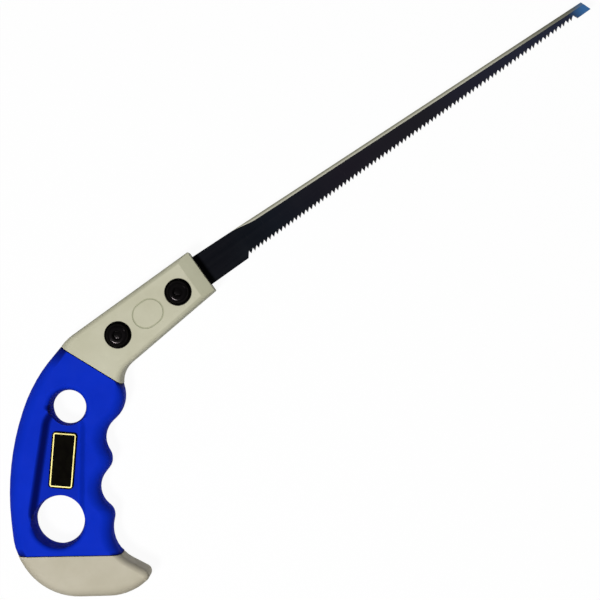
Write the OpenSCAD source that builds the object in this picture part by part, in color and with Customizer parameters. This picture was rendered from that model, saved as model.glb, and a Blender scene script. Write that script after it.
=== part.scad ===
// Root saw: a fixed pull-cut blade bolted into a moulded pistol-grip handle.
// The saw lies on its side. X runs along the tang towards the tip, Y points to the back of the
// blade, and Z points up through the thickness, with the bolt heads on top.

/* [Blade] */
// Length of blade that stands out of the head
blade_reach = 231.4; // [180:0.1:280]
// Thickness of the steel
blade_t = 1.2; // [0.9:0.1:1.6]
// Width of the tang
tang_w = 16.6; // [14:0.1:17.5]
// Lower edge of the tang, below the bolt axes
tang_low = 6.1; // [5.6:0.1:7]
// Length of tang behind the rear bolt
tang_tail = 8.5; // [6.5:0.5:11]
// Toothless heel between the head and the first tooth
heel_len = 22.5; // [10:0.5:40]
// First tooth point below the bolt axes
tooth_line = 5.1; // [4:0.1:5.5]
// Rise of the tooth line from the heel to the tip
tooth_rise = 1.75; // [0:0.05:2]
// Distance from tooth to tooth
tooth_pitch = 2.3; // [1.8:0.01:4]
// Height of a tooth
tooth_h = 1.9; // [1.2:0.1:2.6]
// Sideways set of each tooth point
tooth_set = 0.32; // [0:0.02:0.5]
// Toothless length at the tip
tip_plain = 7.2; // [4:0.2:14]
// Lower corner of the tip below the bolt axes
tip_low = 4; // [3:0.1:5]
// Width of the blade at its tip
tip_w = 5.5; // [4.5:0.1:8]
// How far the lower tip corner leads the upper one
tip_lead = 2; // [0:0.2:5]
// Width of the ground bevel along the back
bevel_w = 2.4; // [1:0.1:3.4]
// Length over which the bevel runs out at the heel
bevel_runout = 34; // [6:1:40]
// Thickness left at the back edge
back_edge_t = 0.5; // [0.3:0.05:0.8]

/* [Head] */
// Thickness of head, grip and pommel
handle_t = 22; // [20:0.5:27]
// From the rear bolt to the end of the head
head_reach = 51; // [47:0.5:62]
// Upper edge of the head above the bolt axes
head_rise = 13.4; // [12.4:0.1:16]
// Lower edge of the head below the bolt axes, at its end
head_drop = 9.7; // [9:0.1:12]
// Lower edge of the head below the bolt axes, at the neck
neck_drop = 15.1; // [13:0.1:18]
// From the rear bolt back to the neck corner
neck_back = 10.6; // [8:0.1:13]
// From the rear bolt back to the shoulder above the grip
shoulder_back = 22.3; // [20:0.1:25]
// Length of the sloped band at the end of the head
band_len = 7; // [3:0.1:9]
// Depth of that slope at the end face
band_depth = 1.8; // [0.6:0.1:3]
// Height of the oval ring between the bolts
oval_h = 13.2; // [9:0.1:15]
// Extra length of that oval over its height
oval_stretch = 2.8; // [1:0.1:4]
// Width of the engraved oval line
oval_line = 0.5; // [0.3:0.05:0.9]
// Depth of the engraved oval line
oval_depth = 0.3; // [0.15:0.05:0.6]

/* [Grip] */
// Angle of the grip axis to the blade
grip_angle = 50; // [44:1:56]
// Small hole, behind the rear bolt
grip_back = 40.9; // [38:0.1:44]
// Small hole, below the bolt axes
grip_down = 14.5; // [12:0.1:17]
// Distance between the two through holes
hole_pitch = 55.8; // [52:0.1:60]
// Diameter of the large hole at its land
large_hole_d = 24; // [20:0.1:25]
// Diameter of the small hole at its land
small_hole_d = 16.6; // [14:0.1:18]
// Length of the straight land in the middle of each hole
hole_land = 4; // [3:0.5:8]
// How much each hole opens out to the faces, on the radius
hole_flare = 1.3; // [0.5:0.1:2]
// Depth of the recess between the holes
recess_depth = 4.4; // [2.5:0.1:5]
// Width of the curved wall of the recess
recess_wall = 4.8; // [3:0.1:6]
// Width of the recess floor at the large hole
recess_wide = 19.2; // [17:0.1:21]
// Width of the recess floor at the small hole
recess_narrow = 13.4; // [13.2:0.1:15]
// Middle of the recess behind the hole axis
recess_back = 0.9; // [0:0.1:1.2]
// Back of the grip behind the hole axis
back_swell = 29.1; // [27:0.1:32]
// Finger grooves in front of the hole axis
groove_front = 15; // [14:0.1:18]
// Outer finger ridges in front of the hole axis
ridge_front = 27.8; // [26:0.1:30]
// Middle finger ridge in front of the hole axis
mid_ridge_front = 24.5; // [22.5:0.1:27]
// Distance between the two finger grooves
finger_pitch = 28.1; // [26:0.1:30]
// Lower finger groove above the large hole
groove_lift = 15.7; // [14.5:0.1:17]
// Rounding of the grip's edges, measured across the face
grip_edge = 7; // [4:0.5:8]
// Rounding of the head's edges, measured across the face
head_edge = 2.2; // [1:0.1:3]

/* [Pommel] */
// Bottom of the pommel below the large hole
pommel_drop = 38.4; // [36:0.1:42]
// Hook point in front of the hole axis
hook_reach = 48.4; // [45:0.1:54]
// Hook point below the large hole
hook_drop = 22; // [20.5:0.1:24]
// Seam of the pommel below the large hole
pommel_seam = 17; // [16:0.1:19]
// Seam of the neck above the large hole
neck_seam_lift = 82.3; // [81:0.1:84]
// Rounding of the pommel's edges, measured across the face
pommel_edge = 6; // [4:0.5:7]
// Rounding of the hook's edges, measured across the face
hook_edge = 3; // [2:0.1:3.2]

/* [Outline] */
// Upper place of the back, in front of the swell
back_upper_in = 9.9; // [9:0.1:11]
// Upper place of the back, above the large hole
back_upper_lift = 66; // [63:0.1:68]
// Swell of the back, above the large hole
back_middle_lift = 25; // [22:0.1:28]
// Lower place of the back, in front of the swell
back_lower_in = 8.2; // [7:0.1:9.5]
// Rear of the pommel's bottom, behind the hole axis
pommel_rear_back = 4.3; // [3:0.1:6]
// Front of the pommel's bottom, behind the hook point
pommel_front_back = 10.4; // [9:0.1:12]
// Front of the pommel's bottom, above its lowest line
pommel_front_lift = 4.5; // [3.5:0.1:5.5]
// Root of the hook in front of the hole axis
hook_root_front = 24.2; // [23:0.1:26]
// Root of the hook below the large hole
hook_root_drop = 11.4; // [10.5:0.1:12.5]
// Lowest finger ridge below the lower groove
ridge_lower_drop = 9.2; // [8.5:0.1:10]
// Middle finger ridge above the lower groove
ridge_middle_lift = 15.7; // [14.5:0.1:17]
// Highest finger ridge above the upper groove
ridge_upper_lift = 14.4; // [13.5:0.1:15.5]
// Difference of each finger groove from their mean depth
groove_skew = 0.8; // [0:0.1:1.2]
// Difference of each outer ridge from their mean reach
ridge_skew = 0.9; // [0:0.1:1.2]
// Fall of the upper edge from the end of the head to the shoulder
shoulder_fall = 0.4; // [0:0.1:0.8]
// Corner radius of the head's end
head_end_r = 3.5; // [3.2:0.1:4.5]
// Corner radius of the shoulder
shoulder_r = 30; // [26:0.5:34]
// Corner radius of the upper back
back_upper_r = 70; // [62:1:76]
// Corner radius of the swell
back_middle_r = 126; // [110:1:136]
// Corner radius of the lower back
back_lower_r = 34; // [30:0.5:38]
// Corner radius of the pommel's rear
pommel_rear_r = 32; // [28:0.5:35]
// Corner radius of the pommel's front
pommel_front_r = 26; // [23:0.5:28]
// Corner radius of the hook point
hook_r = 3.3; // [3.2:0.1:3.8]
// Corner radius of the hook's root
hook_root_r = 17.7; // [15.5:0.1:19]
// Corner radius of the lowest finger ridge
ridge_lower_r = 6; // [5.5:0.1:7]
// Corner radius of the finger grooves
groove_r = 11.4; // [10.5:0.1:12]
// Corner radius of the middle finger ridge
ridge_middle_r = 7.2; // [6.5:0.1:8]
// Corner radius of the highest finger ridge
ridge_upper_r = 14.6; // [13:0.1:16]
// Corner radius of the neck
neck_r = 11.4; // [10:0.1:13]

/* [Fasteners] */
// Distance between the clamp bolts
bolt_pitch = 36; // [34:0.1:40]
// Thread diameter of the bolts
bolt_d = 6; // [5:0.5:6.5]
// Diameter of the button heads
bolt_head_d = 11.2; // [10:0.1:12]
// Height of the button heads
bolt_head_h = 3.2; // [2.4:0.1:4]
// Hexagon socket, across flats
socket_af = 4; // [3:0.5:5]
// Depth of the socket
socket_depth = 2; // [1.2:0.1:2.2]
// Outer diameter of the washers
washer_d = 13.2; // [12.4:0.1:14]
// Thickness of the washers
washer_t = 1.2; // [0.8:0.1:2]
// Depth of the washer seats in the head
seat_depth = 0.4; // [0.2:0.1:0.8]
// Hexagon nuts, across flats
nut_af = 10; // [9:0.5:11]
// Height of the nuts
nut_h = 5; // [4:0.1:6]

/* [Name plate] */
// Width of the plate
plate_w = 12.4; // [8:0.1:12.6]
// Length of the plate
plate_l = 27.8; // [20:0.1:29]
// Thickness of the plate
plate_t = 0.8; // [0.5:0.1:1.5]
// Corner radius of the plate
plate_r = 1.8; // [1.2:0.1:2.5]

/* [Fits] */
// Radial gap between bolt and nut thread
thread_gap = 0.06; // [0.03:0.01:0.1]
// Radial gap between bolt and its plain holes
bolt_gap = 0.2; // [0.15:0.05:0.4]
// Gap on each side of the blade in its slot
slot_gap = 0.08; // [0.05:0.01:0.2]
// Gap round the nuts and washers in their seats
pocket_gap = 0.12; // [0.08:0.01:0.25]
// Gap between the soft grip and the core
bond_gap = 0.05; // [0.03:0.01:0.1]

/* [Hidden] */

$fn = 96;
ivory = "#c9c6b4";
grip_blue = "#1232c8";
steel_black = "#23242c";
bolt_black = "#151517";
nut_steel = "#9a9ca0";
plate_black = "#18160f";

// Half thickness, and the play that lets cuts break through a face
half_t = handle_t / 2;
through = 1;
// Outline tolerance: how far a chord may lie inside its arc
chord_tol = 0.05;
// Steps of the rounding from the flat side to each face
edge_steps = 5;
// Height of an edge rounding against its width
edge_ratio = 1.25;

// Frame of the grip: up along the line of the holes, forward to the fingers
upward = [cos(grip_angle), sin(grip_angle)];
forward = [sin(grip_angle), -cos(grip_angle)];
small_hole = [-grip_back, -grip_down];
large_hole = small_hole - hole_pitch * upward;
function on_grip(f, g) = large_hole + f * forward + g * upward;

// Places that shape the handle's outline, from the end of the head over the back to the fingers
head_overrun = 6;
neck = [-neck_back, -neck_drop];
head_lower_end = [head_reach, -head_drop];
lower_slope = (head_lower_end - neck) / norm(head_lower_end - neck);
shoulder = [-shoulder_back, head_rise - shoulder_fall];
back_upper = on_grip(back_upper_in - back_swell, back_upper_lift);
back_middle = on_grip(-back_swell, back_middle_lift);
back_lower = on_grip(back_lower_in - back_swell, -pommel_seam);
pommel_rear = on_grip(-pommel_rear_back, -pommel_drop);
pommel_front = on_grip(hook_reach - pommel_front_back, pommel_front_lift - pommel_drop);
hook = on_grip(hook_reach, -hook_drop);
hook_root = on_grip(hook_root_front, -hook_root_drop);
upper_groove = groove_lift + finger_pitch;
ridge_lower = on_grip(ridge_front - ridge_skew, groove_lift - ridge_lower_drop);
groove_lower = on_grip(groove_front - groove_skew, groove_lift);
ridge_middle = on_grip(mid_ridge_front, groove_lift + ridge_middle_lift);
groove_upper = on_grip(groove_front + groove_skew, upper_groove);
ridge_upper = on_grip(ridge_front + ridge_skew, upper_groove + ridge_upper_lift);

// Corners in order: place, corner radius, width of the edge rounding, and how far that rounding
// leans towards the fingers instead of square to the outline
finger_lean = 0.75;
root_lean = 0.3;
neck_lean = 0.2;
neck_edge = head_edge + 1;
corners = [
    [[head_reach + head_overrun, head_rise], head_end_r, head_edge, 0],
    [shoulder, shoulder_r, neck_edge, 0],
    [back_upper, back_upper_r, grip_edge, 0],
    [back_middle, back_middle_r, grip_edge, 0],
    [back_lower, back_lower_r, pommel_edge, 0],
    [pommel_rear, pommel_rear_r, pommel_edge, 0],
    [pommel_front, pommel_front_r, pommel_edge, 0],
    [hook, hook_r, hook_edge, 0],
    [hook_root, hook_root_r, pommel_edge, root_lean],
    [ridge_lower, ridge_lower_r, grip_edge, finger_lean],
    [groove_lower, groove_r, grip_edge, finger_lean],
    [ridge_middle, ridge_middle_r, grip_edge, finger_lean],
    [groove_upper, groove_r, grip_edge, finger_lean],
    [ridge_upper, ridge_upper_r, pommel_edge, finger_lean],
    [neck, neck_r, neck_edge, neck_lean],
    [head_lower_end + head_overrun * lower_slope, head_end_r, head_edge, 0]];

function unit(v) = v / norm(v);
function cross_z(a, b) = a.x * b.y - a.y * b.x;

// Value at a share t of a corner: its own in the middle, halfway to its neighbours at both ends
function blended(before, own, after, t) =
    own + (t < 0.5 ? (0.5 - t) * (before - own) : (t - 0.5) * (after - own));

// One corner as an arc: each sample is a point, its rounding direction and its edge width, which
// stays inside the radius of an outer corner
edge_limit = 0.95;
function corner_arc(before, corner, after) =
    let (
        p = corner[0],
        r = corner[1],
        a = unit(before[0] - p),
        b = unit(after[0] - p),
        half = acos(a * b) / 2,
        convex = cross_z(-a, b) > 0 ? 1 : -1,
        centre = p + unit(a + b) * r / sin(half),
        first = p + a * r / tan(half) - centre,
        turn = convex * (180 - 2 * half),
        steps = max(2, ceil(abs(turn) / (2 * acos(1 - chord_tol / r)))))
    [for (i = [0:steps])
        let (
            t = atan2(first.y, first.x) + turn * i / steps,
            radial = [cos(t), sin(t)],
            lean = blended(before[3], corner[3], after[3], i / steps),
            widest = convex > 0 ? edge_limit * r / (1 - lean) : r,
            width = min(widest, blended(before[2], corner[2], after[2], i / steps)))
        [centre + r * radial, unit((1 - lean) * convex * radial + lean * forward), width]];

corner_count = len(corners);
plain_outline = [for (i = [0:corner_count - 1])
    each corner_arc(corners[(i + corner_count - 1) % corner_count], corners[i],
        corners[(i + 1) % corner_count])];

// Seams of the grip: a point on the line of the holes, and the direction to the fingers, which is
// turned from the line of the holes by a set angle
neck_tilt = 117;
pommel_tilt = 84.5;
neck_turn = grip_angle - neck_tilt;
pommel_turn = grip_angle - pommel_tilt;
neck_seam = [on_grip(0, neck_seam_lift), [cos(neck_turn), sin(neck_turn)]];
pommel_line = [on_grip(0, -pommel_seam), [cos(pommel_turn), sin(pommel_turn)]];
function above(seam, p) = cross_z(seam[1], p - seam[0]);
function outward(seam, way) = seam[1] * way > 0 ? seam[1] : -seam[1];

// Close to a seam the edge rounding turns to run along it
seam_ease = 10;
function eased(s, seam) =
    let (share = min(1, abs(above(seam, s[0])) / seam_ease))
    [s[0], unit(share * s[1] + (1 - share) * outward(seam, s[1])), s[2]];
outline = [for (s = plain_outline) eased(eased(s, neck_seam), pommel_line)];

// Sample where the outline meets a seam between samples a and b, at heights ha and hb from it
function crossing(a, b, ha, hb, seam) =
    let (t = ha / (ha - hb))
    [a[0] + t * (b[0] - a[0]), outward(seam, a[1]), a[2] + t * (b[2] - a[2])];

// Stretch of an outline on one side of a seam (keep 1 above, -1 below), held back by a gap
seam_margin = 0.5;
function kept(line, seam, keep, gap) = [for (i = [0:len(line) - 1])
    let (
        a = line[i],
        b = line[(i + 1) % len(line)],
        ha = keep * above(seam, a[0]) - gap,
        hb = keep * above(seam, b[0]) - gap)
    each concat(ha > seam_margin ? [a] : [], ha * hb < 0 ? [crossing(a, b, ha, hb, seam)] : [])];
head_outline = kept(outline, neck_seam, 1, 0);
pommel_outline = kept(outline, pommel_line, -1, 0);
grip_outline = kept(kept(outline, neck_seam, -1, bond_gap), pommel_line, 1, bond_gap);

// Ring of an outline on one face's side, at an angle of the edge rounding from 0 to 90. The last
// ring stands proud of the face by a skim, which is then cut off flat
face_skim = 0.05;
function ring(line, side, turn) = [for (s = line)
    let (
        h = min(half_t - through, edge_ratio * s[2]),
        p = s[0] - s[1] * s[2] * (1 - cos(turn)))
    [p.x, p.y, side * (half_t - h + (h + face_skim) * sin(turn))]];

// Origin of the part: middle of its bounding box, on the face that it lies on
tip_x = head_reach + blade_reach;
outline_x = [for (s = outline) s[0].x];
outline_y = [for (s = outline) s[0].y];
middle = [(min(outline_x) + tip_x) / 2, (min(outline_y) + head_rise) / 2];

// Inner spine: plate thickness, rings round the holes, and the arms into head and pommel
spine_t = 8;
hole_wall = 3;
spine_ring = 4.8;
spine_arm = 18;
spine_head = [9, 88];
spine_pommel = [8, -28];

large_r = large_hole_d / 2;
small_r = small_hole_d / 2;
recess_floor = half_t - recess_depth;
// Middles of the recess ends, from the hole axes towards each other
recess_tuck = [4, 9.8];
wall_steps = 8;

// Heights of the fasteners
washer_z = half_t - seat_depth;
head_z = washer_z + washer_t;
nut_sink = 0.3;
nut_z = -half_t + nut_sink;
bolt_end_z = nut_z + nut_sink;

// Blade edges
tang_high = tang_w - tang_low;
heel_end = head_reach + heel_len;
first_gullet = heel_end + tooth_pitch;
last_gullet_limit = tip_x - tip_plain;
tooth_count = floor((last_gullet_limit - first_gullet) / tooth_pitch);
tip_top = [tip_x - tip_lead, tip_w - tip_low];
bevel_start = heel_end + 2 * tooth_pitch;
edge_break = 0.25;
// Shape of a tooth along the pitch and the height
tooth_lean = 0.12;
tooth_grind = [0.3, 0.5];

module place() {
    translate([-middle.x, -middle.y, half_t])
        children();
}

module at_grip(f = 0, g = 0) {
    p = on_grip(f, g);
    translate([p.x, p.y, 0])
        rotate(grip_angle - 90)
            children();
}

module both_faces() {
    children();
    mirror([0, 0, 1])
        children();
}

// Solid through a stack of rings from the lowest to the highest, each with the same number of points
module loft(rings) {
    count = len(rings[0]);
    layers = len(rings);
    sides = [for (k = [0:layers - 2], i = [0:count - 1])
        let (j = (i + 1) % count, low = k * count, high = low + count)
        each [[low + i, high + i, high + j], [low + i, high + j, low + j]]];
    bottom = [for (i = [0:count - 1]) i];
    top = [for (i = [0:count - 1]) layers * count - 1 - i];
    polyhedron([for (r = rings) each r], concat(sides, [bottom, top]), convexity = 8);
}

// Rounded slab on an outline: rings drawn in towards both faces, which are cut flat
module rounded_slab(line) {
    slab_w = 4 * blade_reach;
    intersection() {
        loft(concat(
            [for (k = [edge_steps:-1:0]) ring(line, -1, 90 * k / edge_steps)],
            [for (k = [0:edge_steps]) ring(line, 1, 90 * k / edge_steps)]));
        cube([slab_w, slab_w, handle_t], center = true);
    }
}

// Bar with square ends between two points of a plan
module bar(from, to, width) {
    along = to - from;
    translate(from)
        rotate(atan2(along.y, along.x))
            translate([0, -width / 2])
                square([norm(along), width]);
}

// Plan of the spine in the grip's frame, grown by a gap for the cavity round it
module spine_plan(gap) {
    difference() {
        union() {
            circle(large_r + hole_wall + spine_ring + gap);
            translate([0, hole_pitch])
                circle(small_r + hole_wall + spine_ring + gap);
            bar([0, 0], [0, hole_pitch], spine_arm + 2 * gap);
            bar([0, hole_pitch], spine_head, spine_arm + 2 * gap);
            bar([0, 0], spine_pommel, spine_arm + 2 * gap);
        }
        circle(large_r + hole_wall - gap);
        translate([0, hole_pitch])
            circle(small_r + hole_wall - gap);
    }
}

module spine(gap) {
    at_grip()
        linear_extrude(spine_t + 2 * gap, center = true)
            spine_plan(gap);
}

// Slot that takes the tang, open at the end of the head
module blade_slot() {
    translate([-tang_tail - slot_gap, -tang_low - slot_gap, -blade_t / 2 - slot_gap])
        cube([head_reach + tang_tail + through, tang_w + 2 * slot_gap, blade_t + 2 * slot_gap]);
}

// Everything cut for one clamp bolt: hole, washer seat on top, nut pocket underneath
module bolt_cuts(x) {
    translate([x, 0, 0]) {
        cylinder(h = handle_t + 2 * through, d = bolt_d + 2 * bolt_gap, center = true);
        translate([0, 0, washer_z])
            cylinder(h = seat_depth + through, d = washer_d + 2 * pocket_gap);
        translate([0, 0, -half_t - through])
            hexagon(nut_af + 2 * pocket_gap, nut_h + nut_sink + through);
    }
}

module hexagon(af, h) {
    cylinder(h = h, d = af / cos(30), $fn = 6);
}

// Slopes on both faces at the end of the head, and the square cut of the end itself
module head_end_cuts() {
    width = 4 * head_rise;
    translate([head_reach, -width / 2, -half_t - through])
        cube([2 * head_overrun, width, handle_t + 2 * through]);
    both_faces()
        translate([0, width / 2, 0])
            rotate([90, 0, 0])
                linear_extrude(width)
                    polygon([
                        [head_reach - band_len, half_t],
                        [head_reach + through, half_t - band_depth * (1 + through / band_len)],
                        [head_reach + through, half_t + through],
                        [head_reach - band_len, half_t + through]]);
}

module oval_plan(height) {
    for (side = [-1, 1])
        translate([side * oval_stretch / 2, 0])
            circle(d = height);
    square([oval_stretch, height], center = true);
}

module oval_ring() {
    translate([bolt_pitch / 2, 0, half_t - oval_depth])
        linear_extrude(oval_depth + through)
            difference() {
                oval_plan(oval_h);
                oval_plan(oval_h - 2 * oval_line);
            }
}

module handle_core() {
    color(ivory)
        place()
            difference() {
                union() {
                    rounded_slab(head_outline);
                    rounded_slab(pommel_outline);
                    spine(0);
                }
                head_end_cuts();
                blade_slot();
                bolt_cuts(0);
                bolt_cuts(bolt_pitch);
                oval_ring();
            }
}

// Through hole: straight land in the middle, drafted open to both faces
module grip_hole(r) {
    draft_h = half_t - hole_land / 2;
    cylinder(h = handle_t, r = r, center = true);
    both_faces()
        translate([0, 0, hole_land / 2])
            cylinder(h = draft_h + through, r1 = r, r2 = r + hole_flare * (draft_h + through) / draft_h);
}

// Plan of the recess in the grip's frame, grown by a width: a round end in each hole, and straight
// tapering sides between them
end_steps = 14;
function round_end(middle, r, from, to) = [for (i = [0:end_steps])
    let (t = from + (to - from) * i / end_steps)
    middle + r * [cos(t), sin(t)]];
function recess_plan(grown) =
    let (
        low = [-recess_back, recess_tuck[0]],
        high = [-recess_back, hole_pitch - recess_tuck[1]],
        taper = asin((recess_wide - recess_narrow) / 2 / norm(high - low)))
    concat(
        round_end(high, recess_narrow / 2 + grown, taper, 180 - taper),
        round_end(low, recess_wide / 2 + grown, 180 - taper, 360 + taper));

// Recess between the holes on the upper face: a flat floor, and a wall that swings up in a soft
// double curve and breaks through the face
module recess() {
    loft(concat(
        [for (k = [0:wall_steps])
            let (rise = (recess_depth + face_skim) * (1 - cos(180 * k / wall_steps)) / 2)
            [for (p = recess_plan(recess_wall * k / wall_steps)) [p.x, p.y, recess_floor + rise]]],
        [[for (p = recess_plan(recess_wall)) [p.x, p.y, half_t + through]]]));
}

module grip_sleeve() {
    color(grip_blue)
        place()
            difference() {
                rounded_slab(grip_outline);
                spine(bond_gap);
                at_grip() {
                    grip_hole(large_r);
                    translate([0, hole_pitch, 0])
                        grip_hole(small_r);
                    both_faces()
                        recess();
                }
            }
}

// Back of the blade: level over the tang, then a straight fall to the tip
function back_y(x) = x <= head_reach ? tang_high :
    tang_high - (tang_high - tip_top.y) * (x - head_reach) / (tip_top.x - head_reach);

// Line of the tooth points: a straight rise from the heel to the tip
function points_y(x) = -tooth_line + tooth_rise * (x - heel_end) / (last_gullet_limit - heel_end);

// Width of the back bevel: a broken edge on the heel, widening to the full grind
function bevel_at(x) =
    edge_break + (bevel_w - edge_break) * min(1, max(0, (x - bevel_start) / bevel_runout));

// A station across the blade: lower edge, foot of the bevel, back edge and its half thickness
function station(low, back) =
    let (w = bevel_at(low.x), share = w / bevel_w, foot = back - w * unit(back - low))
    [low, foot, back, (blade_t - share * (blade_t - back_edge_t)) / 2];
function upright(x, y) = station([x, y], [x, back_y(x)]);

gullets = [for (i = [0:tooth_count]) first_gullet + i * tooth_pitch];
stations = concat(
    [upright(-tang_tail, -tang_low), upright(head_reach, -tang_low), upright(heel_end, -tang_low)],
    [for (x = gullets) upright(x, points_y(x) + tooth_h)],
    [upright(gullets[tooth_count] + tooth_pitch / 2, -tip_low), station([tip_x, -tip_low], tip_top)]);
first_tooth = 3;

// Six points of a station: lower edge, bevel foot and back edge, on the upper and lower face
function station_points(s) = [
    [s[0].x, s[0].y, blade_t / 2], [s[1].x, s[1].y, blade_t / 2], [s[2].x, s[2].y, s[3]],
    [s[0].x, s[0].y, -blade_t / 2], [s[1].x, s[1].y, -blade_t / 2], [s[2].x, s[2].y, -s[3]]];

// Two points of a tooth: the sharp point on the side of its set, and the ground inner corner
function tooth_points(i) =
    let (
        side = i % 2 == 0 ? 1 : -1,
        x = gullets[i] + tooth_lean * tooth_pitch,
        y = points_y(x),
        point = [x, y, side * (blade_t / 2 + tooth_set)],
        inner = [x + tooth_grind.x * tooth_pitch, y + tooth_grind.y * tooth_h,
            side * (tooth_set / 2 - blade_t / 2)])
    side > 0 ? [point, inner] : [inner, point];

module blade_plate() {
    count = len(stations);
    teeth_at = 6 * count;
    points = concat(
        [for (s = stations) each station_points(s)],
        [for (i = [0:tooth_count - 1]) each tooth_points(i)]);
    flats = [for (k = [0:count - 2])
        let (a = 6 * k, b = a + 6)
        each [
            [a, a + 1, b + 1, b],
            [a + 1, a + 2, b + 2], [a + 1, b + 2, b + 1],
            [a + 3, b + 3, b + 4, a + 4],
            [a + 4, b + 5, a + 5], [a + 4, b + 4, b + 5],
            [a + 2, a + 5, b + 5], [a + 2, b + 5, b + 2]]];
    plain_edges = [for (k = [0:count - 2])
        let (a = 6 * k, b = a + 6)
        if (k < first_tooth || k >= first_tooth + tooth_count)
            each [[a, b, b + 3], [a, b + 3, a + 3]]];
    teeth = [for (i = [0:tooth_count - 1])
        let (a = 6 * (first_tooth + i), b = a + 6, up = teeth_at + 2 * i, down = up + 1)
        each [
            [a, b, up], [a + 3, down, b + 3],
            [a, up, down], [a, down, a + 3],
            [up, b, b + 3], [up, b + 3, down]]];
    last = 6 * (count - 1);
    ends = [[0, 3, 4, 5, 2, 1], [last, last + 1, last + 2, last + 5, last + 4, last + 3]];
    polyhedron(points, concat(flats, plain_edges, teeth, ends), convexity = 6);
}

module blade() {
    color(steel_black)
        place()
            difference() {
                blade_plate();
                for (x = [0, bolt_pitch])
                    translate([x, 0, 0])
                        cylinder(h = 2 * blade_t, d = bolt_d + 2 * bolt_gap, center = true);
            }
}

// Button-head bolt: domed head with a hexagon socket, plain shank with a chamfered end
module clamp_bolt(x) {
    rim_h = 0.5;
    crown_r = 0.32 * bolt_head_d;
    end_chamfer = 0.6;
    dome = [for (t = [0:15:90])
        [crown_r + (bolt_head_d / 2 - crown_r) * cos(t), rim_h + (bolt_head_h - rim_h) * sin(t)]];
    shank = head_z - bolt_end_z;
    color(bolt_black)
        place()
            translate([x, 0, head_z])
                difference() {
                    rotate_extrude()
                        polygon(concat(
                            [[0, -shank], [bolt_d / 2 - end_chamfer, -shank],
                                [bolt_d / 2, end_chamfer - shank], [bolt_d / 2, 0],
                                [bolt_head_d / 2, 0]],
                            dome,
                            [[0, bolt_head_h]]));
                    translate([0, 0, bolt_head_h - socket_depth])
                        hexagon(socket_af, socket_depth + through);
                }
}

module washer(x) {
    rim = 0.25;
    color(bolt_black)
        place()
            translate([x, 0, washer_z])
                rotate_extrude()
                    polygon([
                        [bolt_d / 2 + bolt_gap, 0], [washer_d / 2, 0],
                        [washer_d / 2, washer_t - rim], [washer_d / 2 - rim, washer_t],
                        [bolt_d / 2 + bolt_gap, washer_t]]);
}

// Hexagon nut with its corners turned off on the outer side
module nut(x) {
    corner_h = 0.7;
    flat_r = nut_af / 2;
    widening = flat_r / cos(30) - flat_r;
    color(nut_steel)
        place()
            translate([x, 0, nut_z])
                difference() {
                    intersection() {
                        hexagon(nut_af, nut_h);
                        cylinder(h = nut_h, r1 = flat_r, r2 = flat_r + widening * nut_h / corner_h);
                    }
                    translate([0, 0, -through])
                        cylinder(h = nut_h + 2 * through, d = bolt_d + 2 * thread_gap);
                }
}

module clamp_bolt_front() {
    clamp_bolt(bolt_pitch);
}

module clamp_bolt_rear() {
    clamp_bolt(0);
}

module washer_front() {
    washer(bolt_pitch);
}

module washer_rear() {
    washer(0);
}

module nut_front() {
    nut(bolt_pitch);
}

module nut_rear() {
    nut(0);
}

module plate_plan(inset) {
    r = plate_r - inset;
    w = plate_w / 2 - plate_r;
    l = plate_l / 2 - plate_r;
    for (sx = [-1, 1], sy = [-1, 1])
        translate([sx * w, sy * l])
            circle(r);
    square([2 * w, 2 * (l + r)], center = true);
    square([2 * (w + r), 2 * l], center = true);
}

// Thin plate on the recess floor, midway between the edges of the holes, with a raised border
module name_plate() {
    border_inset = 0.7;
    border_w = 0.55;
    border_h = 0.15;
    plate_g = (large_r + hole_pitch - small_r) / 2;
    color(plate_black)
        place()
            at_grip(-recess_back / 2, plate_g)
                translate([0, 0, recess_floor]) {
                    linear_extrude(plate_t)
                        plate_plan(0);
                    linear_extrude(plate_t + border_h)
                        difference() {
                            plate_plan(border_inset);
                            plate_plan(border_inset + border_w);
                        }
                }
}

handle_core();
grip_sleeve();
blade();
clamp_bolt_front();
clamp_bolt_rear();
washer_front();
washer_rear();
nut_front();
nut_rear();
name_plate();
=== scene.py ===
"""Looks of a root saw that lies on its side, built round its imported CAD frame.

Every piece is in metres and in the frame of the CAD model: X runs along the tang to the tip of
the blade, Y points to the back of the blade, and Z points up to the bolt heads. The pieces hold
their own sizes in millimetres, and the finishes theirs in metres.
"""

import logging
import math
from dataclasses import dataclass, replace
from enum import Enum
from functools import lru_cache
from typing import Sequence, Union

import bmesh
import bpy
from mathutils import Matrix, Vector


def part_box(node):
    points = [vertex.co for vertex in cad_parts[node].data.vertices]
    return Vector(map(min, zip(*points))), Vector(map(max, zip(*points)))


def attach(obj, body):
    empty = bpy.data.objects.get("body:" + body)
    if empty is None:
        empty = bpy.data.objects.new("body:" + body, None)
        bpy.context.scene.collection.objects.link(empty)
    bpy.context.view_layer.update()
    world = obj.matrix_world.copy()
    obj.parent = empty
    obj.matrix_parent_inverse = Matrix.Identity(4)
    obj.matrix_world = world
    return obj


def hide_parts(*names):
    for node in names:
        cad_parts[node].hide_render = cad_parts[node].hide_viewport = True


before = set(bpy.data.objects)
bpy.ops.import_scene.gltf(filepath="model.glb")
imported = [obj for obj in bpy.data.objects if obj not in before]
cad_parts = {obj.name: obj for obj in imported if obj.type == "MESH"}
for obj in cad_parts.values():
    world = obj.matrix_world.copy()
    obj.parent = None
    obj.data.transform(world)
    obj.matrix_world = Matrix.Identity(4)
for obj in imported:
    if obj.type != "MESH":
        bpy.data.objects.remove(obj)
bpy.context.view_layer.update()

LOG = logging.getLogger("root_saw")
MM = 0.001
# Vertex attribute that says how much painted shade lies on a spot, from 0 to 1
PAINTED_SHADE = "painted_shade"
# Least angle in degrees between the two faces of a rim that is rounded
RIM_ANGLE = 40.0
# Distance in millimetres within which a point counts as lying on a plane
TOUCH = 0.01
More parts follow.
